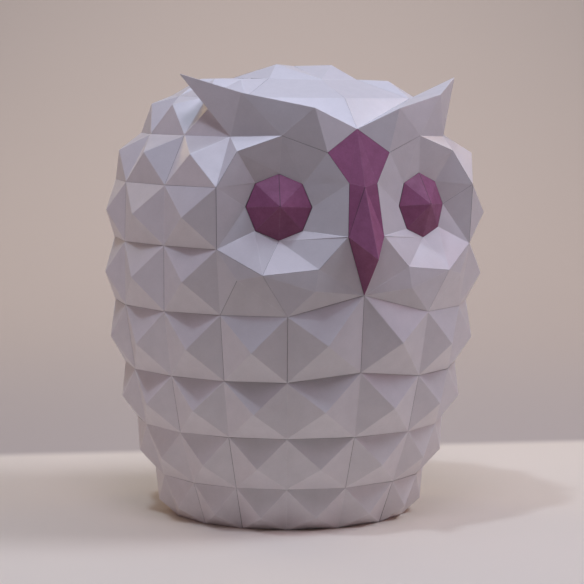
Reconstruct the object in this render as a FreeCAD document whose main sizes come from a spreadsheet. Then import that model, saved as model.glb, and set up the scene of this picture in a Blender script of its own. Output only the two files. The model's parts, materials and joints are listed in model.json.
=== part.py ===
"""A free-standing owl folded and glued from thin card.

The body is a stack of card rows. Each row is a band of low four-sided pyramids between two level
fold rings, cut into strips that are glued end to end. The face is a pair of dished eye discs, two
raised pupils, a long folded beak, two cheeks and two horned brows. Every strip is a folded sheet
of one card thickness with glue tabs that lie behind its neighbours.

Units are millimetres. The owl faces -Y, +Z is up, and the origin is the middle of its base.
"""
import FreeCAD, Part
import Sketcher
import math
import os

from FreeCAD import Rotation, Vector

doc = FreeCAD.newDocument("FoldedCardOwl")

# ---------------------------------------------------------------- driving dimensions
columnCount = 16          # fold lines round the body; column 0 is at the front, column 8 at the back
halfColumns = columnCount // 2
ringLevels = 9            # the highest fold ring; ring 0 is the edge of the base

dimensions = [
    ("cardThickness", 0.3), ("glueGap", 0.1), ("panelInset", 0.8),
    ("tabDepth", 6.0), ("tabInset", 2.2), ("tabHeel", 0.8), ("tabTaper", 30.0),
    ("shortestTabEdge", 7.0), ("tabShare", 0.4),
    ("depthRatio", 0.92),
    ("column1Angle", 24.5), ("column2Angle", 45.5), ("column3Angle", 66.5),
    ("column4Angle", 89.5), ("column5Angle", 110.0), ("column6Angle", 134.0),
    ("column7Angle", 157.0),
    ("ring0Radius", 64.5), ("ring0Level", 0.0),
    ("ring1Radius", 73.0), ("ring1Level", 22.5),
    ("ring2Radius", 83.0), ("ring2Level", 50.0),
    ("ring3Radius", 89.5), ("ring3Level", 79.5),
    ("ring4Radius", 95.0), ("ring4Level", 113.0),
    ("ring5Radius", 95.5), ("ring5Level", 146.0),
    ("ring6Radius", 95.0), ("ring6Level", 176.5),
    ("ring7Radius", 81.5), ("ring7Level", 201.0),
    ("ring8Radius", 65.5), ("ring8Level", 220.5),
    ("ring9Radius", 35.5), ("ring9Level", 230.0),
    ("row1Reach", 4.4), ("row1Lift", -4.0), ("row2Reach", 5.9), ("row2Lift", -2.1),
    ("row3Reach", 7.4), ("row3Lift", -1.3), ("row4Reach", 7.8), ("row4Lift", -1.2),
    ("row5Reach", 7.9), ("row5Lift", -0.3), ("row6Reach", 7.5), ("row6Lift", 0.1),
    ("row7Reach", 7.6), ("row7Lift", 3.6), ("row8Reach", 4.9), ("row8Lift", 5.6),
    ("row9Reach", 2.0), ("row9Lift", 4.2),
    ("temple5Out", 4.6), ("temple6Out", 6.4), ("temple7Out", 3.0),
    ("chinInset", 2.7), ("chinLift", 9.9), ("bibLift", 4.3),
    ("crownPeakRadius", 20.5), ("crownPeakAngle", 51.0), ("crownPeakLevel", 237.5),
    ("crownBackPeakLevel", 234.5), ("crownTopLevel", 236.8),
    ("beakTopDepth", 74.5), ("beakTopLevel", 205.5),
    ("beakSaddleDepth", 84.0), ("beakSaddleLevel", 177.0),
    ("beakBulgeDepth", 100.0), ("beakBulgeLevel", 142.0),
    ("discX", 40.5), ("discDepth", 75.0), ("discLevel", 167.0), ("discTurn", 16.0),
    ("discLean", 10.0), ("discRadius", 35.5),
    ("disc0Angle", 130.0), ("disc1Angle", 90.0), ("disc2Angle", 51.0), ("disc5Angle", -72.5),
    ("disc6Angle", -119.5), ("disc7Angle", -155.5), ("disc8Angle", 160.5),
    ("pupilX", 40.0), ("pupilDepth", 69.0), ("pupilLevel", 166.6), ("pupilTurn", 19.0),
    ("pupilLean", 6.0), ("pupilRadius", 16.6), ("pupilHeight", 7.2),
    ("cheekX", 27.0), ("cheekDepth", 85.0), ("cheekLevel", 125.7),
    ("cheekPeakAcross", 0.63), ("cheekPeakUp", 0.65), ("cheekPeakReach", 2.0),
    ("browFoldX", 23.7), ("browFoldDepth", 75.0), ("browFoldLevel", 216.0),
    ("browBendX", 56.3), ("browBendDepth", 58.4), ("browBendLevel", 223.0),
    ("earTipX", 79.0), ("earTipDepth", 32.5), ("earTipLevel", 232.0),
]

sheet = doc.addObject("Spreadsheet::Sheet", "Sizes")
for row, (name, value) in enumerate(dimensions, start=1):
    sheet.set("A%d" % row, name)
    sheet.set("B%d" % row, str(value))
    sheet.setAlias("B%d" % row, name)
doc.recompute()


def size(name):
    """The present value of a named cell."""
    return float(sheet.get(name))


card = size("cardThickness")


# ---------------------------------------------------------------- corners of the folded surface
def columnAngle(column):
    """Angle of a fold column from the front, towards +X, in degrees."""
    column = column % columnCount
    if column > halfColumns:
        return -columnAngle(columnCount - column)
    if column == 0:
        return 0.0
    if column == halfColumns:
        return 180.0
    return size("column%dAngle" % column)


def onRing(radius, angle, level):
    turn = math.radians(angle)
    return Vector(radius * math.sin(turn), -size("depthRatio") * radius * math.cos(turn), level)


templeColumn = 2          # the fold column where the face meets the rows, on either side
templeLevels = (5, 6, 7)


def ringCorner(level, column):
    """Corner of a fold ring: drawn in and lifted under the beak, and pushed out at the temples."""
    column = column % columnCount
    radius = size("ring%dRadius" % level)
    height = size("ring%dLevel" % level)
    if level == ringLevels and column % 2:
        before = ringCorner(level, column - 1)
        return (before + ringCorner(level, column + 1)) * 0.5
    if level == 4 and column == 0:
        radius -= size("chinInset")
        height += size("chinLift")
    if level == 3 and column == 0:
        height += size("bibLift")
    if level in templeLevels and column in (templeColumn, columnCount - templeColumn):
        radius += size("temple%dOut" % level)
    return onRing(radius, columnAngle(column), height)


def peakCorner(row, column):
    """Peak of the pyramid between two columns, over the middle of its four corners."""
    corners = [ringCorner(row - 1, column), ringCorner(row - 1, column + 1),
               ringCorner(row, column + 1), ringCorner(row, column)]
    middle = (corners[0] + corners[1] + corners[2] + corners[3]) * 0.25
    outward = Vector(middle.x, middle.y, 0).normalize()
    return middle + outward * size("row%dReach" % row) + Vector(0, 0, size("row%dLift" % row))


def facing(turn, lean):
    """Rotation that stands a flat outline upright, facing -Y, then turns and leans it."""
    upright = Rotation(Vector(1, 0, 0), 90)
    leaned = Rotation(Vector(1, 0, 0), -lean)
    turned = Rotation(Vector(0, 0, 1), turn)
    return turned.multiply(leaned).multiply(upright)


def pupilPlace(side):
    centre = Vector(side * size("pupilX"), -size("pupilDepth"), size("pupilLevel"))
    return FreeCAD.Placement(centre, facing(side * size("pupilTurn"), size("pupilLean")))


def discPlace(side):
    centre = Vector(side * size("discX"), -size("discDepth"), size("discLevel"))
    return FreeCAD.Placement(centre, facing(side * size("discTurn"), size("discLean")))


pupilCornerCount = 8
discCornerCount = 9
discOnBody = {3: (6, 2), 4: (5, 2)}     # two disc corners are corners of the body's rings


def wrapped(side, column):
    """The column on this side of the owl: side 1 is +X, side -1 is -X."""
    return (side * column) % columnCount


def irisCorner(index, side):
    turn = math.radians(180 - index * 360.0 / pupilCornerCount)
    radius = size("pupilRadius")
    flat = Vector(side * radius * math.cos(turn), radius * math.sin(turn), 0)
    return pupilPlace(side).multVec(flat)


def discCorner(index, side):
    if index in discOnBody:
        level, column = discOnBody[index]
        return ringCorner(level, wrapped(side, column))
    turn = math.radians(size("disc%dAngle" % index))
    radius = size("discRadius")
    flat = Vector(side * radius * math.cos(turn), radius * math.sin(turn), 0)
    return discPlace(side).multVec(flat)


def cheekPeak(side):
    """Low peak of the flat cell between the cheek and the first full pyramid of row 5."""
    low = ringCorner(4, wrapped(side, 1))
    across = ringCorner(4, wrapped(side, 2)) - low
    up = discCorner(5, side) - low
    outward = across.cross(up).normalize() * side
    share = size("cheekPeakAcross")
    rise = size("cheekPeakUp")
    top = discCorner(5, side) + (discCorner(4, side) - discCorner(5, side)) * share
    bottom = low + across * share
    return bottom + (top - bottom) * rise + outward * size("cheekPeakReach")


def crownPeak(front, side):
    angle = size("crownPeakAngle")
    level = size("crownPeakLevel")
    if not front:
        angle = 180.0 - angle
        level = size("crownBackPeakLevel")
    return onRing(size("crownPeakRadius"), side * angle, level)


def placed(name, side=1):
    """A corner given by its own three sizes: across, forward and up."""
    return Vector(side * size(name + "X"), -size(name + "Depth"), size(name + "Level"))


def middlePoint(name):
    return Vector(0, -size(name + "Depth"), size(name + "Level"))


corner = {}
for level in range(ringLevels + 1):
    for column in range(columnCount):
        corner["ring", level, column] = ringCorner(level, column)
for rowNumber in range(1, ringLevels + 1):
    for column in range(columnCount):
        corner["peak", rowNumber, column] = peakCorner(rowNumber, column)
for side in (1, -1):
    for index in range(pupilCornerCount):
        corner["iris", index, side] = irisCorner(index, side)
    pupilTip = Vector(0, 0, size("pupilHeight"))
    corner["pupil", side] = pupilPlace(side).multVec(pupilTip)
    for index in range(discCornerCount):
        if index not in discOnBody:
            corner["disc", index, side] = discCorner(index, side)
    corner["cheek", side] = placed("cheek", side)
    corner["cheekPeak", side] = cheekPeak(side)
    corner["browFold", side] = placed("browFold", side)
    corner["browBend", side] = placed("browBend", side)
    corner["earTip", side] = placed("earTip", side)
    corner["crownPeak", 1, side] = crownPeak(True, side)
    corner["crownPeak", 0, side] = crownPeak(False, side)
corner["crownTop"] = Vector(0, 0, size("crownTopLevel"))
corner["beakTop"] = middlePoint("beakTop")
corner["beakSaddle"] = middlePoint("beakSaddle")
corner["beakBulge"] = middlePoint("beakBulge")


# ---------------------------------------------------------------- facets, each a triangle of corners
# Facets run anticlockwise seen from outside. Face facets are listed for the +X side and mirrored.
def ring(level, column):
    return ("ring", level, column % columnCount)


def cell(rowNumber, column):
    """Four facets of one pyramid, from the lower edge round to the left edge."""
    low, nextLow = ring(rowNumber - 1, column), ring(rowNumber - 1, column + 1)
    high, nextHigh = ring(rowNumber, column), ring(rowNumber, column + 1)
    peak = ("peak", rowNumber, column % columnCount)
    return [(low, nextLow, peak), (nextLow, nextHigh, peak), (nextHigh, high, peak),
            (high, low, peak)]


def cells(rowNumber, first, last):
    facets = []
    for column in range(first, last):
        facets += cell(rowNumber, column)
    return facets


def disc(index, side):
    if index in discOnBody:
        level, column = discOnBody[index]
        return ring(level, wrapped(side, column))
    return ("disc", index, side)


def iris(index, side):
    return ("iris", index % pupilCornerCount, side)


def mirrored(side, facets):
    if side == 1:
        return list(facets)
    return [(third, second, first) for first, second, third in facets]


def sideRing(level, column, side):
    return ring(level, wrapped(side, column))


def discFacets(side):
    """A dish between nine outer corners and the eight corners round the pupil."""
    facets = []
    for index in range(5):
        outer, nextOuter = disc(index, side), disc(index + 1, side)
        inner, nextInner = iris(index + 1, side), iris(index + 2, side)
        facets += [(nextOuter, outer, inner), (nextInner, nextOuter, inner)]
    facets += [(disc(6, side), disc(5, side), iris(6, side)),
               (disc(7, side), disc(6, side), iris(6, side)),
               (iris(7, side), disc(7, side), iris(6, side)),
               (iris(0, side), disc(7, side), iris(7, side)),
               (disc(8, side), disc(7, side), iris(0, side)),
               (iris(1, side), disc(8, side), iris(0, side)),
               (disc(0, side), disc(8, side), iris(1, side))]
    return mirrored(side, facets)


def pupilFacets(side):
    facets = [(iris(index + 1, side), iris(index, side), ("pupil", side))
              for index in range(pupilCornerCount)]
    return mirrored(side, facets)


def beakFacets(side):
    top, saddle, bulge = "beakTop", "beakSaddle", "beakBulge"
    facets = [(top, disc(8, side), disc(0, side)), (top, saddle, disc(8, side)),
              (saddle, disc(7, side), disc(8, side)), (saddle, bulge, disc(7, side)),
              (bulge, ring(4, 0), disc(7, side))]
    return mirrored(side, facets)


def cheekFacets(side):
    cheek, chin = ("cheek", side), ring(4, 0)
    low = sideRing(4, 1, side)
    facets = [(disc(6, side), cheek, disc(5, side)), (disc(7, side), chin, disc(6, side)),
              (disc(6, side), chin, cheek), (cheek, chin, low), (disc(5, side), cheek, low)]
    return mirrored(side, facets)


def cheekCellFacets(side):
    peak = ("cheekPeak", side)
    low, nextLow = sideRing(4, 1, side), sideRing(4, 2, side)
    facets = [(low, nextLow, peak), (nextLow, disc(4, side), peak),
              (disc(4, side), disc(5, side), peak), (disc(5, side), low, peak)]
    return mirrored(side, facets)


def browFacets(side):
    """Brow front, its level top, the back of the ear and the slip above the eye disc."""
    top, fold = "beakTop", ("browFold", side)
    bend, tip = ("browBend", side), ("earTip", side)
    temple, back = sideRing(7, 2, side), sideRing(8, 2, side)
    outer = sideRing(8, 3, side)
    behind = ("peak", 8, 2 if side == 1 else columnCount - 3)
    facets = [(disc(3, side), temple, disc(2, side)), (temple, disc(1, side), disc(2, side)),
              (top, disc(0, side), fold), (fold, disc(0, side), disc(1, side)),
              (fold, disc(1, side), bend), (bend, disc(1, side), temple), (bend, temple, tip),
              (top, fold, back), (fold, bend, back), (bend, tip, back),
              (tip, temple, behind), (tip, behind, outer), (tip, outer, back)]
    return mirrored(side, facets)


def crownFacets(side):
    """Forehead and one half of the crown: a front and a back peak that meet at the top."""
    top, summit = "beakTop", "crownTop"
    front, back = ("crownPeak", 1, side), ("crownPeak", 0, side)
    rim = [sideRing(ringLevels, column, side) for column in range(halfColumns + 1)]
    hairline, root = sideRing(8, 0, side), sideRing(8, 2, side)
    facets = [(top, root, hairline), (hairline, root, rim[2]), (hairline, rim[2], rim[0]),
              (rim[0], rim[2], front), (rim[2], rim[3], front), (rim[3], rim[4], front),
              (rim[4], summit, front), (summit, rim[0], front)]
    for column in range(4, halfColumns):
        facets.append((rim[column], rim[column + 1], back))
    facets += [(rim[halfColumns], summit, back), (summit, rim[4], back)]
    return mirrored(side, facets)


def earCellFacets(side):
    """The two facets of row 8's first pyramid that the ear leaves open."""
    low, nextLow = sideRing(7, 2, side), sideRing(7, 3, side)
    nextHigh = sideRing(8, 3, side)
    peak = ("peak", 8, 2 if side == 1 else columnCount - 3)
    return mirrored(side, [(low, nextLow, peak), (nextLow, nextHigh, peak)])


# Each strip: name, row, first column and last column. Columns past 16 run on round the front.
strips = [
    ("row1_front", 1, 14, 17), ("row1_front_right", 1, 1, 2), ("row1_right", 1, 2, 6),
    ("row1_back", 1, 6, 10), ("row1_left", 1, 10, 13), ("row1_front_left", 1, 13, 14),
    ("row2_front_left", 2, 14, 16), ("row2_front_right", 2, 0, 4), ("row2_back_right", 2, 4, 8),
    ("row2_back_left", 2, 8, 11), ("row2_left", 2, 11, 14),
    ("row3_front", 3, 13, 17), ("row3_front_right", 3, 1, 2), ("row3_right", 3, 2, 6),
    ("row3_back", 3, 6, 10), ("row3_left", 3, 10, 13),
    ("row4_front_right", 4, 0, 4), ("row4_back_right", 4, 4, 8), ("row4_back_left", 4, 8, 12),
    ("row4_left", 4, 12, 14), ("row4_front_left", 4, 14, 15), ("row4_front_centre", 4, 15, 16),
    ("row5_front_right", 5, 2, 3), ("row5_right", 5, 3, 6), ("row5_back", 5, 6, 10),
    ("row5_left", 5, 10, 13), ("row5_front_left", 5, 13, 14),
    ("row6_front_right", 6, 2, 4), ("row6_right", 6, 4, 8), ("row6_left", 6, 8, 12),
    ("row6_front_left", 6, 12, 14),
    ("row7_front_right", 7, 2, 3), ("row7_right", 7, 3, 6), ("row7_back", 7, 6, 10),
    ("row7_left", 7, 10, 13), ("row7_front_left", 7, 13, 14),
    ("row8_right", 8, 3, 6), ("row8_back", 8, 6, 10), ("row8_left", 8, 10, 13),
    ("row9_right", 9, 2, 6), ("row9_back", 9, 6, 10), ("row9_left", 9, 10, 14),
]
extraFacets = {
    "row5_front_right": cheekCellFacets(1), "row5_front_left": cheekCellFacets(-1),
    "row8_right": earCellFacets(1), "row8_left": earCellFacets(-1),
}

pieces = {}
for name, rowNumber, first, last in strips:
    pieces[name] = cells(rowNumber, first, last) + extraFacets.get(name, [])
for side, word in ((1, "right"), (-1, "left")):
    pieces["cheek_" + word] = cheekFacets(side)
pieces["beak"] = beakFacets(1) + beakFacets(-1)
for side, word in ((1, "right"), (-1, "left")):
    pieces["crown_" + word] = crownFacets(side)
for side, word in ((1, "right"), (-1, "left")):
    pieces["brow_" + word] = browFacets(side)
    pieces["eye_disc_" + word] = discFacets(side)
order = {name: place for place, name in enumerate(pieces)}

# Facets that other objects of this document fill, needed to fold the card beside them.
otherFacets = pupilFacets(1) + pupilFacets(-1)
for column in range(columnCount):
    otherFacets.append((ring(0, column + 1), ring(0, column), "baseCentre"))
corner["baseCentre"] = Vector(0, 0, size("ring0Level"))


# ---------------------------------------------------------------- card thickness
def facetNormal(facet):
    first, second, third = [corner[key] for key in facet]
    return (second - first).cross(third - first).normalize()


ownerOf = {}              # directed edge -> (piece name, facet)
normalsAt = {}            # corner -> outward normals of the facets that meet there
for name, facets in list(pieces.items()) + [("", otherFacets)]:
    for facet in facets:
        for place in range(3):
            ownerOf[facet[place], facet[(place + 1) % 3]] = (name, facet)
            normalsAt.setdefault(facet[place], []).append(facetNormal(facet))


softening = 0.001         # keeps a nearly flat corner from sliding sideways when it is moved in


def insideCorner(key, depth):
    """The corner moved inwards so that every facet that meets there moves in by depth."""
    rows = [[softening, 0, 0], [0, softening, 0], [0, 0, softening]]
    total = Vector(0, 0, 0)
    for normal in normalsAt[key]:
        parts = (normal.x, normal.y, normal.z)
        for line in range(3):
            for place in range(3):
                rows[line][place] += parts[line] * parts[place]
        total += normal
    matrix = FreeCAD.Matrix(*(rows[0] + [0] + rows[1] + [0] + rows[2] + [0] + [0, 0, 0, 1]))
    return corner[key] - matrix.inverse().multVec(total) * depth


inside = {key: insideCorner(key, card) for key in normalsAt}
heel = {key: insideCorner(key, 2 * card) for key in normalsAt}
for column in range(columnCount):     # the lowest tabs start clear of the base panel's top
    inside[ring(0, column)].z = size("ring0Level") + card + size("glueGap")


# ---------------------------------------------------------------- solids
def closedSolid(outlines, foot):
    """Solid inside flat outlines, measured from its foot."""
    faces = []
    for outline in outlines:
        points = [point - foot for point in outline]
        faces.append(Part.Face(Part.makePolygon(points + points[:1])))
    solid = Part.makeSolid(Part.makeShell(faces))
    if solid.Volume < 0:
        solid.reverse()
    return solid


def foldedCard(facets, foot):
    """A sheet of card folded along the edges of the given facets."""
    outlines = []
    directed = set()
    for facet in facets:
        outlines.append([corner[key] for key in facet])
        outlines.append([inside[key] for key in reversed(facet)])
        for place in range(3):
            directed.add((facet[place], facet[(place + 1) % 3]))
    for start, end in directed:
        if (end, start) in directed:
            continue
        if str(start) < str(end):
            outlines.append([corner[end], corner[start], inside[end]])
            outlines.append([corner[start], inside[start], inside[end]])
        else:
            outlines.append([corner[end], corner[start], inside[start]])
            outlines.append([corner[end], inside[start], inside[end]])
    return closedSolid(outlines, foot)


def glueTab(start, end, ownFacet, otherFacet, foot):
    """A flap that runs on from the edge start-end and lies behind the neighbour's facet."""
    edge = inside[end] - inside[start]
    length = edge.Length
    along = edge * (1 / length)
    third = [key for key in otherFacet if key not in (start, end)][0]
    ownThird = [key for key in ownFacet if key not in (start, end)][0]
    inward = facetNormal(otherFacet) * -1
    into = inside[third] - inside[start]
    into = into - along * into.dot(along)
    reach = into.Length
    into = into * (1 / reach)
    back = inside[ownThird] - inside[start]
    back = back - along * back.dot(along)
    back.normalize()
    depth = min(size("tabDepth"), size("tabShare") * reach)
    inset = size("tabInset")
    slope = math.tan(math.radians(size("tabTaper")))
    lean = (inside[third] - inside[start]).dot(along)
    taperStart = depth * max(slope, lean / reach)
    taperEnd = depth * max(slope, (length - lean) / reach)
    spare = length - 2 * inset - taperStart - taperEnd
    if spare < inset:
        return None
    heelOffset = (heel[start] + heel[end] - inside[start] - inside[end]) * 0.5
    heelOffset = heelOffset - along * heelOffset.dot(along)
    sections = []
    for root, taper, sign in ((inside[start], taperStart, 1), (inside[end], taperEnd, -1)):
        fold = root + along * (sign * inset)
        lip = fold + along * (sign * taper) + into * depth + inward * size("glueGap")
        sections.append([fold, lip, lip + inward * card, fold + heelOffset,
                         fold + back * size("tabHeel")])
    one, two = sections
    outlines = []
    for place in range(len(one)):
        following = (place + 1) % len(one)
        outlines.append([one[place], one[following], two[following], two[place]])
    for fold, lip, lowLip, heelPoint, heelEnd in sections:
        outlines.append([fold, lip, lowLip])
        outlines.append([fold, lowLip, heelPoint])
        outlines.append([fold, heelPoint, heelEnd])
    return closedSolid(outlines, foot)


def glueTabs(name, foot):
    """Tabs on every long edge whose other side belongs to a later piece or another object."""
    tabs = []
    edges = [(facet[place], facet[(place + 1) % 3], facet)
             for facet in pieces[name] for place in range(3)]
    for start, end, facet in edges:
        neighbour, otherFacet = ownerOf[end, start]
        if neighbour == name:
            continue
        if neighbour and order[neighbour] < order[name]:
            continue
        if (inside[end] - inside[start]).Length < size("shortestTabEdge"):
            continue
        tab = glueTab(start, end, facet, otherFacet, foot)
        if tab:
            tabs.append(tab)
    return tabs


# ---------------------------------------------------------------- the document's objects
subParts = []


def addCardPiece(name):
    """One folded strip as a feature that stands at the height of its lowest fold."""
    foot = Vector(0, 0, min(corner[key].z for facet in pieces[name] for key in facet))
    shape = foldedCard(pieces[name], foot)
    tabs = glueTabs(name, foot)
    if tabs:
        shape = shape.multiFuse(tabs).removeSplitter()
    if shape.ShapeType == "Compound" and len(shape.Solids) == 1:
        shape = shape.Solids[0]
    feature = doc.addObject("Part::Feature", name)
    feature.Shape = shape
    feature.Placement = FreeCAD.Placement(foot, Rotation())
    feature.Label = name
    subParts.append(feature)


def addBasePanel():
    """Flat card with a corner on every fold column, just inside the lowest row."""
    body = doc.addObject("PartDesign::Body", "BasePanel")
    body.Label = "base_panel"
    sketch = body.newObject("Sketcher::SketchObject", "PanelOutline")
    plane = [item for item in body.Origin.OriginFeatures if item.Role == "XY_Plane"][0]
    sketch.AttachmentSupport = (plane, [""])
    sketch.MapMode = "FlatFace"
    points = []
    radius = size("ring0Radius") - size("panelInset")
    for column in range(columnCount):
        points.append(onRing(radius, columnAngle(column), 0))
    for column in range(columnCount):
        following = (column + 1) % columnCount
        sketch.addGeometry(Part.LineSegment(points[column], points[following]), False)
    for column in range(columnCount):
        following = (column + 1) % columnCount
        sketch.addConstraint(Sketcher.Constraint("Coincident", column, 2, following, 1))
    for column in range(columnCount):
        point = points[column]
        mirror = column if column <= halfColumns else columnCount - column
        sign = "" if column <= halfColumns else "-"
        angle = {0: "0", halfColumns: "180"}.get(mirror, "Sizes.column%dAngle" % mirror)
        panelRadius = "(Sizes.ring0Radius - Sizes.panelInset)"
        across = sketch.addConstraint(Sketcher.Constraint("DistanceX", -1, 1, column, 1, point.x))
        sketch.setExpression("Constraints[%d]" % across,
                             "%s%s * sin(%s * 1 deg) * 1 mm" % (sign, panelRadius, angle))
        along = sketch.addConstraint(Sketcher.Constraint("DistanceY", -1, 1, column, 1, point.y))
        sketch.setExpression("Constraints[%d]" % along, "-Sizes.depthRatio * %s * cos(%s * 1 deg)"
                             " * 1 mm" % (panelRadius, angle))
    pad = body.newObject("PartDesign::Pad", "PanelCard")
    pad.Profile = sketch
    pad.setExpression("Length", "Sizes.cardThickness * 1 mm")
    body.Tip = pad
    body.setExpression("Placement.Base.z", "Sizes.ring0Level * 1 mm")
    subParts.append(body)


def addPupil(side, word):
    """A low eight-sided pyramid of card: the outer pyramid less the same one moved back."""
    outline = doc.addObject("Part::RegularPolygon", "PupilOutline" + word)
    outline.Polygon = pupilCornerCount
    outline.setExpression("Circumradius", "Sizes.pupilRadius * 1 mm")
    tip = doc.addObject("Part::Vertex", "PupilTip" + word)
    tip.setExpression("Z", "Sizes.pupilHeight * 1 mm")
    outer = doc.addObject("Part::Loft", "PupilOuter" + word)
    outer.Sections = [outline, tip]
    outer.Solid = True
    outer.Ruled = True
    flat = "Sizes.pupilRadius * cos(180 deg / %d)" % pupilCornerCount
    slant = "sqrt((%s)^2 + Sizes.pupilHeight^2)" % flat
    shrink = "(1 - Sizes.cardThickness * %s / (Sizes.pupilHeight * %s))" % (slant, flat)
    hollowOutline = doc.addObject("Part::RegularPolygon", "PupilHollowOutline" + word)
    hollowOutline.Polygon = pupilCornerCount
    hollowOutline.setExpression("Circumradius", "Sizes.pupilRadius * %s * 1 mm" % shrink)
    hollowTip = doc.addObject("Part::Vertex", "PupilHollowTip" + word)
    hollowTip.setExpression("Z", "Sizes.pupilHeight * %s * 1 mm" % shrink)
    hollow = doc.addObject("Part::Loft", "PupilHollow" + word)
    hollow.Sections = [hollowOutline, hollowTip]
    hollow.Solid = True
    hollow.Ruled = True
    pupil = doc.addObject("Part::Cut", "Pupil" + word)
    pupil.Base = outer
    pupil.Tool = hollow
    pupil.Label = "pupil_" + word.lower()
    pupil.Placement = pupilPlace(side)
    subParts.append(pupil)


addBasePanel()
for pieceName in pieces:
    addCardPiece(pieceName)
addPupil(1, "Right")
addPupil(-1, "Left")
doc.recompute()

# ---------------------------------------------------------------- checks and files
for item in doc.Objects:
    if "Invalid" in item.State or "Error" in item.State:
        raise RuntimeError("%s did not compute: %s" % (item.Name, item.State))
for part in subParts:
    if part.Shape.isNull() or not part.Shape.isValid() or len(part.Shape.Solids) != 1:
        raise RuntimeError("%s is not one valid solid" % part.Label)

os.makedirs("parts", exist_ok=True)
for part in subParts:
    part.Shape.exportStep("parts/%s.step" % part.Label)
print("%d sub-parts written" % len(subParts))
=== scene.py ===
import json
import math

import bmesh
import bpy
from mathutils import Matrix, Vector, noise
from mathutils.bvhtree import BVHTree
from mathutils.geometry import intersect_point_line


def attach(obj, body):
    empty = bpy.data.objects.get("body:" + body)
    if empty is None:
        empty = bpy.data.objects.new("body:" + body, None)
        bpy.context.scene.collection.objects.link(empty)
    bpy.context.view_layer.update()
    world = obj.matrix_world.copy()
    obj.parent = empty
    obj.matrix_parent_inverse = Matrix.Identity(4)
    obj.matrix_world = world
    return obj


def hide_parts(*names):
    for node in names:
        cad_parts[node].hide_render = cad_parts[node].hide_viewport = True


# A free-standing owl of folded pearl card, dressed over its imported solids. Metres, owl facing -Y.

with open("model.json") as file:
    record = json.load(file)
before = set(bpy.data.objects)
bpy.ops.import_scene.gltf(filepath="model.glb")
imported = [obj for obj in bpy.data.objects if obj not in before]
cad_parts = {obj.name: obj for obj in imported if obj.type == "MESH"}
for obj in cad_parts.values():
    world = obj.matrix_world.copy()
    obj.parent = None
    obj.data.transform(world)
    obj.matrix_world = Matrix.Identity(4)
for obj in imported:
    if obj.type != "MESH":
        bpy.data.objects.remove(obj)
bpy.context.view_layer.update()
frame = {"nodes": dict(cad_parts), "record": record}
scene = bpy.context.scene
print("frame loaded:", len(frame["nodes"]), "pieces")


# node helpers, used by the shader groups, the materials and the geometry tree
nodeSpacing = (200, -180)    # right and down, in the node editor


def addNode(tree, kind, spot, **settings):
    node = tree.nodes.new(kind)
    node.location = (spot[0] * nodeSpacing[0], spot[1] * nodeSpacing[1])
    for name, value in settings.items():
        setattr(node, name, value)
    return node


def join(tree, source, target):
    tree.links.new(source, target)


def newGroup(name, inputs, outputs):
    # inputs and outputs are (name, socket type, starting value)
    group = bpy.data.node_groups.new(name, "ShaderNodeTree")
    for label, socketType, start in inputs:
        socket = group.interface.new_socket(label, in_out="INPUT", socket_type=socketType)
        if start is not None:
            socket.default_value = start
    for label, socketType in outputs:
        group.interface.new_socket(label, in_out="OUTPUT", socket_type=socketType)
    ends = addNode(group, "NodeGroupInput", (-4, 0)), addNode(group, "NodeGroupOutput", (5, 0))
    return group, ends[0].outputs, ends[1].inputs


def mathNode(tree, operation, spot, first, second):
    node = addNode(tree, "ShaderNodeMath", spot, operation=operation)
    for place, value in enumerate((first, second)):
        if isinstance(value, (int, float)):
            node.inputs[place].default_value = value
        else:
            join(tree, value, node.inputs[place])
    return node.outputs[0]


def mixColour(tree, spot, factor, first, second):
    node = addNode(tree, "ShaderNodeMix", spot, data_type="RGBA", blend_type="MIX")
    if isinstance(factor, (int, float)):
        node.inputs[0].default_value = factor
    else:
        join(tree, factor, node.inputs[0])
    for socket, value in ((node.inputs[6], first), (node.inputs[7], second)):
        if isinstance(value, (tuple, list)):
            socket.default_value = (*value[:3], 1)
        else:
            join(tree, value, socket)
    return node.outputs[2]


# shader groups shared by both cards
paperGrain = {
    "fibreStretches": ((1.0, 0.35, 0.6), (0.4, 1.0, 0.5), (0.6, 0.45, 1.0)),
    "fibreDetail": 2.0, "fibreDistortion": 0.4, "cloudDetail": 3.0,
    "toneSpread": (0.35, 0.65),    # the stretch of tone that runs from the deep colour to the pale one
}


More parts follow.
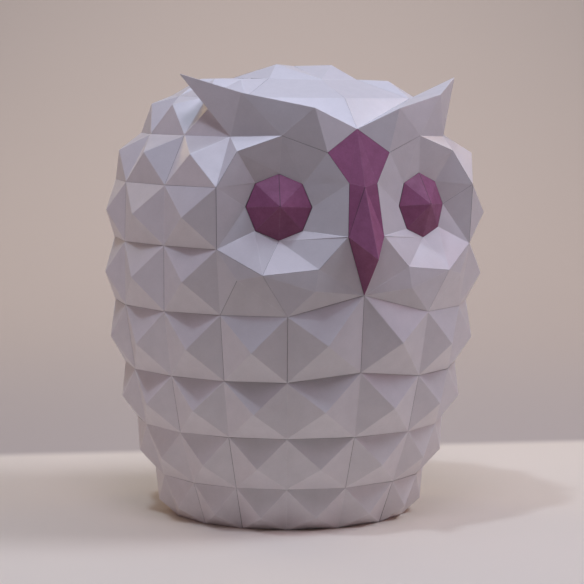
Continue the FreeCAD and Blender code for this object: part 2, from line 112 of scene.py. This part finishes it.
def makeFibreGroup():
    # pressed paper: short fibres lying every way, over a cloudier formation of the pulp
    group, given, out = newGroup(
        "paperFibre",
        [("Vector", "NodeSocketVector", None), ("Fibre size", "NodeSocketFloat", 0.0006),
         ("Cloud size", "NodeSocketFloat", 0.006), ("Fibre share", "NodeSocketFloat", 0.5)],
        [("Tone", "NodeSocketFloat"), ("Height", "NodeSocketFloat")])
    fibreScale = mathNode(group, "DIVIDE", (-3, 1), 1.0, given["Fibre size"])
    cloudScale = mathNode(group, "DIVIDE", (-3, 2), 1.0, given["Cloud size"])
    fibres = []
    for row, stretch in enumerate(paperGrain["fibreStretches"]):
        laid = addNode(group, "ShaderNodeMapping", (-2, row))
        laid.inputs["Scale"].default_value = stretch
        join(group, given["Vector"], laid.inputs["Vector"])
        grain = addNode(group, "ShaderNodeTexNoise", (-1, row))
        grain.inputs["Detail"].default_value = paperGrain["fibreDetail"]
        grain.inputs["Distortion"].default_value = paperGrain["fibreDistortion"]
        join(group, laid.outputs[0], grain.inputs["Vector"])
        join(group, fibreScale, grain.inputs["Scale"])
        fibres.append(grain.outputs["Fac"])
    cloud = addNode(group, "ShaderNodeTexNoise", (-1, 3))
    cloud.inputs["Detail"].default_value = paperGrain["cloudDetail"]
    join(group, given["Vector"], cloud.inputs["Vector"])
    join(group, cloudScale, cloud.inputs["Scale"])
    summed = mathNode(group, "ADD", (0, 0), fibres[0], fibres[1])
    summed = mathNode(group, "ADD", (1, 0), summed, fibres[2])
    fibre = mathNode(group, "MULTIPLY", (2, 0), summed, 1 / len(fibres))
    blend = addNode(group, "ShaderNodeMix", (3, 1), data_type="FLOAT")
    join(group, given["Fibre share"], blend.inputs[0])
    join(group, cloud.outputs["Fac"], blend.inputs[2])
    join(group, fibre, blend.inputs[3])
    join(group, blend.outputs[0], out["Tone"])
    join(group, fibre, out["Height"])
    return group


# scored folds are paler; the dark seam colour stands for glue together with painted shade in the
# grooves and on inner faces
edgeColours = {"scored": (1.0, 1.0, 1.0), "glued": (0.05, 0.04, 0.045)}


def makeEdgeGroup():
    # marks left by folding and gluing: paler scored folds, and seams painted dark, partly for glue and
    # partly as painted shade in their grooves
    group, given, out = newGroup(
        "foldAndSeam",
        [("Colour", "NodeSocketColor", None), ("Fold", "NodeSocketFloat", 0.0),
         ("Seam", "NodeSocketFloat", 0.0), ("Fold lift", "NodeSocketFloat", 0.2),
         ("Seam shade", "NodeSocketFloat", 0.6), ("Break", "NodeSocketFloat", 0.5)],
        [("Colour", "NodeSocketColor")])
    worn = mathNode(group, "MULTIPLY", (-2, 0), given["Fold"], given["Fold lift"])
    worn = mathNode(group, "MULTIPLY", (-1, 0), worn, given["Break"])
    lifted = mixColour(group, (0, 0), worn, given["Colour"], edgeColours["scored"])
    shade = mathNode(group, "MULTIPLY", (0, 1), given["Seam"], given["Seam shade"])
    dark = mixColour(group, (2, 0), shade, lifted, edgeColours["glued"])
    join(group, dark, out["Colour"])
    return group


fibreGroup = makeFibreGroup()
edgeGroup = makeEdgeGroup()

# seamShade sets how far the seam mark darkens the card: glue and painted shade
pearlCard = {
    "name": "pearlCard", "slot": "body_card",
    "pale": (0.80, 0.762, 0.79), "deep": (0.745, 0.71, 0.735),
    "fibreSize": 0.0007, "cloudSize": 0.007, "fibreShare": 0.45,
    "roughness": (0.40, 0.52), "specular": 1.0, "coat": 0.40, "coatRoughness": 0.36,
    "foldLift": 0.25, "seamShade": 0.55, "bump": 0.25, "bumpDepth": 0.00006,
}
plumCard = {
    "name": "plumCard", "slot": "accent_card",
    "pale": (0.375, 0.123, 0.25), "deep": (0.285, 0.09, 0.187),
    "fibreSize": 0.0006, "cloudSize": 0.005, "fibreShare": 0.55,
    "roughness": (0.48, 0.62), "specular": 0.40, "coat": 0.04, "coatRoughness": 0.40,
    "foldLift": 0.05, "seamShade": 0.75, "bump": 0.35, "bumpDepth": 0.00008,
}


def makeCard(card):
    material = bpy.data.materials.new(card["name"])
    material.use_nodes = True
    tree = material.node_tree
    tree.nodes.clear()
    place = addNode(tree, "ShaderNodeTexCoord", (-5, 0))
    fibre = addNode(tree, "ShaderNodeGroup", (-4, 0), node_tree=fibreGroup)
    fibre.inputs["Fibre size"].default_value = card["fibreSize"]
    fibre.inputs["Cloud size"].default_value = card["cloudSize"]
    fibre.inputs["Fibre share"].default_value = card["fibreShare"]
    join(tree, place.outputs["Object"], fibre.inputs["Vector"])
    spread = addNode(tree, "ShaderNodeMapRange", (-3, 0))
    spread.inputs["From Min"].default_value = paperGrain["toneSpread"][0]
    spread.inputs["From Max"].default_value = paperGrain["toneSpread"][1]
    join(tree, fibre.outputs["Tone"], spread.inputs["Value"])
    base = mixColour(tree, (-2, 0), spread.outputs[0], card["deep"], card["pale"])
    # the seam mark darkens the colour with painted shade as well as glue; the fold mark pales it
    foldMark = addNode(tree, "ShaderNodeAttribute", (-3, 2), attribute_name="fold")
    seamMark = addNode(tree, "ShaderNodeAttribute", (-3, 3), attribute_name="seam")
    edges = addNode(tree, "ShaderNodeGroup", (-1, 0), node_tree=edgeGroup)
    edges.inputs["Fold lift"].default_value = card["foldLift"]
    edges.inputs["Seam shade"].default_value = card["seamShade"]
    join(tree, base, edges.inputs["Colour"])
    join(tree, foldMark.outputs["Fac"], edges.inputs["Fold"])
    join(tree, seamMark.outputs["Fac"], edges.inputs["Seam"])
    join(tree, spread.outputs[0], edges.inputs["Break"])
    rough = addNode(tree, "ShaderNodeMapRange", (-1, 1))
    rough.inputs["To Min"].default_value = card["roughness"][1]
    rough.inputs["To Max"].default_value = card["roughness"][0]
    join(tree, spread.outputs[0], rough.inputs["Value"])
    bump = addNode(tree, "ShaderNodeBump", (-1, 2))
    bump.inputs["Strength"].default_value = card["bump"]
    bump.inputs["Distance"].default_value = card["bumpDepth"]
    join(tree, fibre.outputs["Height"], bump.inputs["Height"])
    shader = addNode(tree, "ShaderNodeBsdfPrincipled", (1, 0))
    shader.inputs["Specular IOR Level"].default_value = card["specular"]
    shader.inputs["Coat Weight"].default_value = card["coat"]
    shader.inputs["Coat Roughness"].default_value = card["coatRoughness"]
    join(tree, edges.outputs[0], shader.inputs["Base Color"])
    join(tree, rough.outputs[0], shader.inputs["Roughness"])
    join(tree, bump.outputs[0], shader.inputs["Normal"])
    finish = addNode(tree, "ShaderNodeOutputMaterial", (3, 0))
    join(tree, shader.outputs[0], finish.inputs["Surface"])
    return material


cards = {recipe["slot"]: makeCard(recipe) for recipe in (pearlCard, plumCard)}
print("materials made:", ", ".join(material.name for material in cards.values()))


# the bow of every facet, as one geometry tree for all pieces
foldedCard = {
    "seamInset": 0.00022,      # how far a piece stops short of an upright seam
    "levelInset": 0.00009,     # the same at the level folds and slanting joins, which sit tighter
    "seamWander": 0.5,         # share by which that varies along the seams
    "wanderScale": 60,
    "foldWidth": 0.00045, "foldSegments": 2, "foldProfile": 0.5,
    "foldStray": 0.00008,      # how far a rounded fold may lie from the flat card
    "leastFold": 2.0, "flatUnder": 0.2,       # degrees; below the second there is no fold at all
    # gluedShade: how far a glued fold is darkened, for glue and as painted shade
    "uprightOver": 0.85, "gluedReach": 0.0006, "gluedShade": 0.8,
    "bulge": 0.00030, "dip": 0.00005, "bowReach": 0.006,
    "subdivisions": 2, "smoothUnder": 5.0, "seed": 11,
    "mergeReach": 0.000002,    # corners closer than this are one corner
    "leastEdge": 0.000005,     # edges shorter than this are closed up
}


def makeBowTree():
    # each outer facet bulges or dips a little between its folds, as card does when it is creased
    tree = bpy.data.node_groups.new("facetBow", "GeometryNodeTree")
    tree.interface.new_socket("Geometry", in_out="INPUT", socket_type="NodeSocketGeometry")
    for label, kind in (("Bulge", "NodeSocketFloat"), ("Dip", "NodeSocketFloat"),
                        ("Reach", "NodeSocketFloat"), ("Subdivisions", "NodeSocketInt"),
                        ("Smooth under", "NodeSocketFloat"), ("Seed", "NodeSocketInt"),
                        ("Card", "NodeSocketMaterial")):
        tree.interface.new_socket(label, in_out="INPUT", socket_type=kind)
    tree.interface.new_socket("Geometry", in_out="OUTPUT", socket_type="NodeSocketGeometry")
    given = addNode(tree, "NodeGroupInput", (-5, 0)).outputs
    normal = addNode(tree, "GeometryNodeInputNormal", (-5, 3))
    outer = addNode(tree, "GeometryNodeInputNamedAttribute", (-5, 4), data_type="FLOAT")
    outer.inputs["Name"].default_value = "facet"
    amount = addNode(tree, "FunctionNodeRandomValue", (-5, 5), data_type="FLOAT")
    deepest = mathNode(tree, "MULTIPLY", (-6, 5), given["Dip"], -1.0)
    join(tree, deepest, amount.inputs[2])
    join(tree, given["Bulge"], amount.inputs[3])
    join(tree, given["Seed"], amount.inputs["Seed"])
    lift = mathNode(tree, "MULTIPLY", (-4, 4), amount.outputs[1], outer.outputs[0])
    push = addNode(tree, "ShaderNodeVectorMath", (-3, 3), operation="SCALE")
    join(tree, normal.outputs[0], push.inputs[0])
    join(tree, lift, push.inputs["Scale"])
    capture = addNode(tree, "GeometryNodeCaptureAttribute", (-2, 0), domain="FACE")
    capture.capture_items.new("VECTOR", "Push")
    join(tree, given["Geometry"], capture.inputs["Geometry"])
    join(tree, push.outputs[0], capture.inputs["Push"])
    divide = addNode(tree, "GeometryNodeSubdivideMesh", (-1, 0))
    join(tree, capture.outputs["Geometry"], divide.inputs["Mesh"])
    join(tree, given["Subdivisions"], divide.inputs["Level"])
    near = addNode(tree, "GeometryNodeProximity", (-1, 3), target_element="EDGES")
    join(tree, given["Geometry"], near.inputs[0])
    rise = addNode(tree, "ShaderNodeMapRange", (0, 3), interpolation_type="SMOOTHSTEP")
    join(tree, near.outputs["Distance"], rise.inputs["Value"])
    join(tree, given["Reach"], rise.inputs["From Max"])
    offset = addNode(tree, "ShaderNodeVectorMath", (2, 2), operation="SCALE")
    join(tree, capture.outputs["Push"], offset.inputs[0])
    join(tree, rise.outputs[0], offset.inputs["Scale"])
    shift = addNode(tree, "GeometryNodeSetPosition", (2, 0))
    join(tree, divide.outputs[0], shift.inputs["Geometry"])
    join(tree, offset.outputs[0], shift.inputs["Offset"])
    smooth = addNode(tree, "GeometryNodeSetShadeSmooth", (3, 0), domain="FACE")
    smooth.inputs["Shade Smooth"].default_value = True
    join(tree, shift.outputs[0], smooth.inputs["Geometry"])
    bend = addNode(tree, "GeometryNodeInputMeshEdgeAngle", (3, 2))
    gentle = addNode(tree, "FunctionNodeCompare", (4, 2), operation="LESS_THAN")
    join(tree, bend.outputs["Unsigned Angle"], gentle.inputs[0])
    join(tree, given["Smooth under"], gentle.inputs[1])
    crease = addNode(tree, "GeometryNodeSetShadeSmooth", (4, 0), domain="EDGE")
    join(tree, smooth.outputs[0], crease.inputs["Geometry"])
    join(tree, gentle.outputs[0], crease.inputs["Shade Smooth"])
    whole = addNode(tree, "GeometryNodeRealizeInstances", (5, 0))
    join(tree, crease.outputs[0], whole.inputs[0])
    paint = addNode(tree, "GeometryNodeSetMaterial", (6, 0))
    join(tree, whole.outputs[0], paint.inputs["Geometry"])
    join(tree, given["Card"], paint.inputs["Material"])
    result = addNode(tree, "NodeGroupOutput", (7, 0))
    join(tree, paint.outputs[0], result.inputs["Geometry"])
    return tree


def growWith(thing, tree, values):
    # runs the tree on the object and leaves a plain mesh
    modifier = thing.modifiers.new(tree.name, "NODES")
    modifier.node_group = tree
    for item in tree.interface.items_tree:
        if item.item_type == "SOCKET" and item.in_out == "INPUT" and item.name in values:
            modifier[item.identifier] = values[item.name]
    seen = thing.evaluated_get(bpy.context.evaluated_depsgraph_get())
    made = bpy.data.meshes.new_from_object(seen)
    thing.modifiers.remove(modifier)
    old = thing.data
    thing.data = made
    bpy.data.meshes.remove(old)


# folded card pieces
def wholeShell():
    # every solid in one search tree, to tell the outside of the owl from its hollow
    corners = []
    faces = []
    for node in frame["nodes"].values():
        start = len(corners)
        corners += [vertex.co.copy() for vertex in node.data.vertices]
        faces += [[start + index for index in face.vertices] for face in node.data.polygons]
    return BVHTree.FromPolygons(corners, faces)


shell = wholeShell()
outlook = {
    "ways": 8, "lean": 0.6, "rise": 0.8,      # directions tried round each face, and one straight out
    "clearance": 0.00002, "leastFree": 3,
}
lookouts = [Vector((math.sin(turn) * outlook["lean"], math.cos(turn) * outlook["lean"],
                    outlook["rise"])).normalized()
            for turn in (index * math.tau / outlook["ways"] for index in range(outlook["ways"]))]
lookouts.append(Vector((0, 0, 1)))


def seesOut(face):
    # an outer face has open air in several directions; an inner face or a glue tab has hardly any
    start = face.calc_center_median() + face.normal * outlook["clearance"]
    frameOfFace = face.normal.to_track_quat("Z", "Y")
    free = 0
    for way in lookouts:
        if shell.ray_cast(start, frameOfFace @ way)[0] is None:
            free += 1
    return free >= outlook["leastFree"]


# a fold of these pieces is a glued joint, painted dark for glue and with painted shade: the two ends
# of each, in metres
gluedFolds = {
    "row5_front_left": ((-0.0678, -0.0613, 0.1130), (-0.0634, -0.0698, 0.1290)),
    "eye_disc_left": ((-0.0406, -0.0706, 0.1501), (-0.0524, -0.0777, 0.1337)),
    "eye_disc_right": ((0.0557, -0.0636, 0.1666), (0.0640, -0.0645, 0.1716)),
    "pupil_left": ((-0.0394, -0.0674, 0.1831), (-0.0423, -0.0758, 0.1674)),
    "pupil_right": ((0.0394, -0.0674, 0.1831), (0.0423, -0.0758, 0.1674)),
    "beak": ((-0.0101, -0.0864, 0.1525), (0.0, -0.0840, 0.1770)),
}


def alongGlue(face, ends):
    # true for a face of a rounded fold that lies on the glued stretch
    centre = face.calc_center_median()
    nearest, share = intersect_point_line(centre, Vector(ends[0]), Vector(ends[1]))
    return 0 <= share <= 1 and (centre - nearest).length < foldedCard["gluedReach"]


def drawIn(mesh, outer):
    # stops the outer skin a little short of the seams, so that a groove is left there
    moves = {}
    for face in outer:
        for edge in face.edges:
            if sum(1 for other in edge.link_faces if other in outer) > 1:
                continue
            along = (edge.verts[1].co - edge.verts[0].co).normalized()
            upright = abs(along.z) > foldedCard["uprightOver"]
            inset = foldedCard["seamInset"] if upright else foldedCard["levelInset"]
            inward = face.normal.cross(along)
            if inward.dot(face.calc_center_median() - edge.verts[0].co) < 0:
                inward.negate()
            for vertex in edge.verts:
                moves.setdefault(vertex, []).append(inward * inset)
    for vertex, ways in moves.items():
        total = sum(ways, Vector()) / len(ways)
        wander = noise.noise(vertex.co * foldedCard["wanderScale"]) * foldedCard["seamWander"]
        vertex.co += total * (1 + wander)


def foldPiece(node, card, tree):
    mesh = bmesh.new()
    facet = mesh.faces.layers.float.new("facet")
    fold = mesh.faces.layers.float.new("fold")
    seam = mesh.faces.layers.float.new("seam")
    mesh.from_mesh(node.data)
    bmesh.ops.remove_doubles(mesh, verts=mesh.verts, dist=foldedCard["mergeReach"])
    mesh.normal_update()
    outer = {face for face in mesh.faces if seesOut(face)}
    flat = [edge for edge in mesh.edges
            if len(edge.link_faces) == 2 and all(face in outer for face in edge.link_faces)
            and edge.calc_face_angle(0) < math.radians(foldedCard["flatUnder"])]
    bmesh.ops.dissolve_edges(mesh, edges=flat, use_verts=False)
    outer = {face for face in mesh.faces if seesOut(face)}
    for face in outer:
        face[facet] = 1.0
    drawIn(mesh, outer)
    # faces that do not see out (inner side, tabs, groove walls) take the seam mark: painted shade,
    # with glue on the tabs
    for face in mesh.faces:
        if face not in outer:
            face[seam] = 1.0
    creases = [edge for edge in mesh.edges
               if len(edge.link_faces) == 2 and all(face in outer for face in edge.link_faces)
               and edge.calc_face_angle(0) > math.radians(foldedCard["leastFold"])]
    skin = BVHTree.FromBMesh(mesh)
    rounded = bmesh.ops.bevel(mesh, geom=creases, offset=foldedCard["foldWidth"] / 2,
                              offset_type="OFFSET", segments=foldedCard["foldSegments"],
                              profile=foldedCard["foldProfile"], affect="EDGES",
                              clamp_overlap=True, loop_slide=True)
    for vertex in rounded["verts"]:
        # where folds meet at a sharp angle the rounding would run past the corner of the card
        nearest, _, _, away = skin.find_nearest(vertex.co)
        if away > foldedCard["foldStray"]:
            vertex.co = nearest
    glue = gluedFolds.get(node.name)
    # faces of a glued fold take part of the seam mark: glue and painted shade along the joint
    for face in rounded["faces"]:
        glued = glue is not None and alongGlue(face, glue)
        face[fold] = 0.0 if glued else 1.0
        face[seam] = foldedCard["gluedShade"] if glued else 0.0
        face[facet] = 0.0
    bmesh.ops.dissolve_degenerate(mesh, edges=mesh.edges, dist=foldedCard["leastEdge"])
    made = bpy.data.meshes.new(node.name + "Folded")
    mesh.to_mesh(made)
    mesh.free()
    piece = bpy.data.objects.new(node.name + "Card", made)
    scene.collection.objects.link(piece)
    growWith(piece, tree, {
        "Bulge": 0.0 if node.name == "base_panel" else foldedCard["bulge"],
        "Dip": foldedCard["dip"], "Reach": foldedCard["bowReach"],
        "Subdivisions": foldedCard["subdivisions"],
        "Smooth under": math.radians(foldedCard["smoothUnder"]),
        "Seed": foldedCard["seed"], "Card": card,
    })
    return piece


bowTree = makeBowTree()
slotOf = {entry["node"]: entry["material_slot"] for entry in frame["record"]["subparts"]}
for name, node in sorted(frame["nodes"].items()):
    piece = foldPiece(node, cards[slotOf[name]], bowTree)
    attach(piece, "root")
    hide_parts(name)
print("card pieces folded:", len(slotOf))


# floor, backdrop, lights and camera
studio = {
    "turn": -25.14,            # the way the camera looks, in degrees round the owl
    "floorReach": 3.0, "floorBack": 0.7, "sweepRadius": 1.8, "wallHeight": 3.0, "halfWidth": 4.0,
    "sweepSteps": 16, "roughness": 0.6,
    "table": (0.84, 0.757, 0.655), "wall": (0.50, 0.44, 0.405), "room": (0.40, 0.34, 0.30),
    "tableBack": 0.175, "tableFront": -0.23, "tableSkew": 0.20, "edgeBlur": 0.012,
}


def makeStage():
    profile = [(-studio["floorReach"], 0.0), (0.0, 0.0), (studio["floorBack"], 0.0)]
    radius = studio["sweepRadius"]
    for step in range(1, studio["sweepSteps"] + 1):
        turn = math.pi / 2 * step / studio["sweepSteps"]
        profile.append((studio["floorBack"] + radius * math.sin(turn),
                        radius * (1 - math.cos(turn))))
    profile.append((studio["floorBack"] + radius, studio["wallHeight"]))
    corners = []
    for side in (-1, 1):
        corners += [Vector((side * studio["halfWidth"], away, up)) for away, up in profile]
    count = len(profile)
    faces = [(place, count + place, count + place + 1, place + 1) for place in range(count - 1)]
    sweep = bpy.data.meshes.new("studioSweep")
    sweep.from_pydata(corners, [], faces)
    sweep.transform(Matrix.Rotation(math.radians(studio["turn"]), 4, "Z"))
    for face in sweep.polygons:
        face.use_smooth = True
    floor = bpy.data.objects.new("studioSweep", sweep)
    scene.collection.objects.link(floor)
    material = bpy.data.materials.new("studioPaint")
    material.use_nodes = True
    tree = material.node_tree
    shader = tree.nodes["Principled BSDF"]
    shader.inputs["Roughness"].default_value = studio["roughness"]
    place = addNode(tree, "ShaderNodeTexCoord", (-6, 0))
    across = addNode(tree, "ShaderNodeVectorMath", (-5, 0), operation="DOT_PRODUCT")
    skew = math.radians(studio["turn"]) + studio["tableSkew"]
    across.inputs[1].default_value = (-math.sin(skew), math.cos(skew), 0.0)
    join(tree, place.outputs["Object"], across.inputs[0])
    colour = studio["table"]
    for edge, past, beyond in (("tableBack", 1, "wall"), ("tableFront", -1, "room")):
        border = addNode(tree, "ShaderNodeMapRange", (-4, past), interpolation_type="SMOOTHSTEP")
        border.inputs["From Min"].default_value = studio[edge] - past * studio["edgeBlur"]
        border.inputs["From Max"].default_value = studio[edge] + past * studio["edgeBlur"]
        join(tree, across.outputs["Value"], border.inputs["Value"])
        colour = mixColour(tree, (-2, past), border.outputs[0], colour, studio[beyond])
    join(tree, colour, shader.inputs["Base Color"])
    floor.data.materials.append(material)


def aimed(thing, place, target, roll=0.0):
    look = (Vector(target) - Vector(place)).to_track_quat("-Z", "Y").to_matrix().to_4x4()
    thing.matrix_world = Matrix.Translation(place) @ look @ Matrix.Rotation(roll, 4, "Z")


owlMiddle = (0.0, 0.0, 0.11)
lamps = {
    # name: place, aim, width, watts, colour
    "key": ((-0.55, -0.18, 1.75), owlMiddle, 0.12, 6.2, (0.69, 0.81, 1.00)),
    "ceilingPanel": ((0.0, 0.0, 1.7), owlMiddle, 1.6, 6.98, (0.73, 0.81, 1.00)),
    "highRight": ((0.724, -0.34, 1.2), owlMiddle, 0.5, 6.54, (0.73, 0.84, 1.00)),
    "backRight": ((1.197, 0.432, 0.8), owlMiddle, 0.6, 1.25, (1.00, 0.53, 0.02)),
    "backLeft": ((-0.432, 1.197, 0.8), owlMiddle, 0.6, 2.22, (1.00, 0.77, 0.44)),
    "highFront": ((-0.255, -0.543, 1.4), owlMiddle, 0.5, 3.2, (0.92, 0.80, 1.00)),
    "lowLeft": ((-1.352, 0.414, 0.4), owlMiddle, 0.5, 1.64, (1.00, 0.71, 0.80)),
    "midRight": ((1.086, -0.51, 0.75), owlMiddle, 0.5, 1.57, (1.00, 0.52, 0.65)),
    "backdrop": ((0.382, 0.815, 1.3), (1.02, 2.173, 0.25), 0.8, 12.5, (1.0, 0.93, 0.9)),
}
roomLight = {"colour": (0.55, 0.52, 0.56), "strength": 0.01}


def makeLights():
    for name, (place, target, width, watts, colour) in lamps.items():
        light = bpy.data.lights.new(name, "AREA")
        light.shape = "DISK"
        light.size = width
        light.energy = watts
        light.color = colour
        lamp = bpy.data.objects.new(name, light)
        scene.collection.objects.link(lamp)
        aimed(lamp, place, target)
    world = bpy.data.worlds.new("room")
    world.use_nodes = True
    background = world.node_tree.nodes["Background"]
    background.inputs["Color"].default_value = (*roomLight["colour"], 1)
    background.inputs["Strength"].default_value = roomLight["strength"]
    scene.world = world


view = {
    "place": (-0.4661, -0.9931, 0.2281), "target": (0.0001, 0.0, 0.1165),
    "roll": 0.01143, "lens": 126.97, "sensor": 36.0,
}


def makeCamera():
    camera = bpy.data.objects.new("mainCamera", bpy.data.cameras.new("mainCamera"))
    camera.data.lens = view["lens"]
    camera.data.sensor_width = view["sensor"]
    scene.collection.objects.link(camera)
    aimed(camera, view["place"], view["target"], view["roll"])
    scene.camera = camera


makeStage()
makeLights()
makeCamera()
scene.view_settings.view_transform = "Standard"
print("stage, lights and camera set")
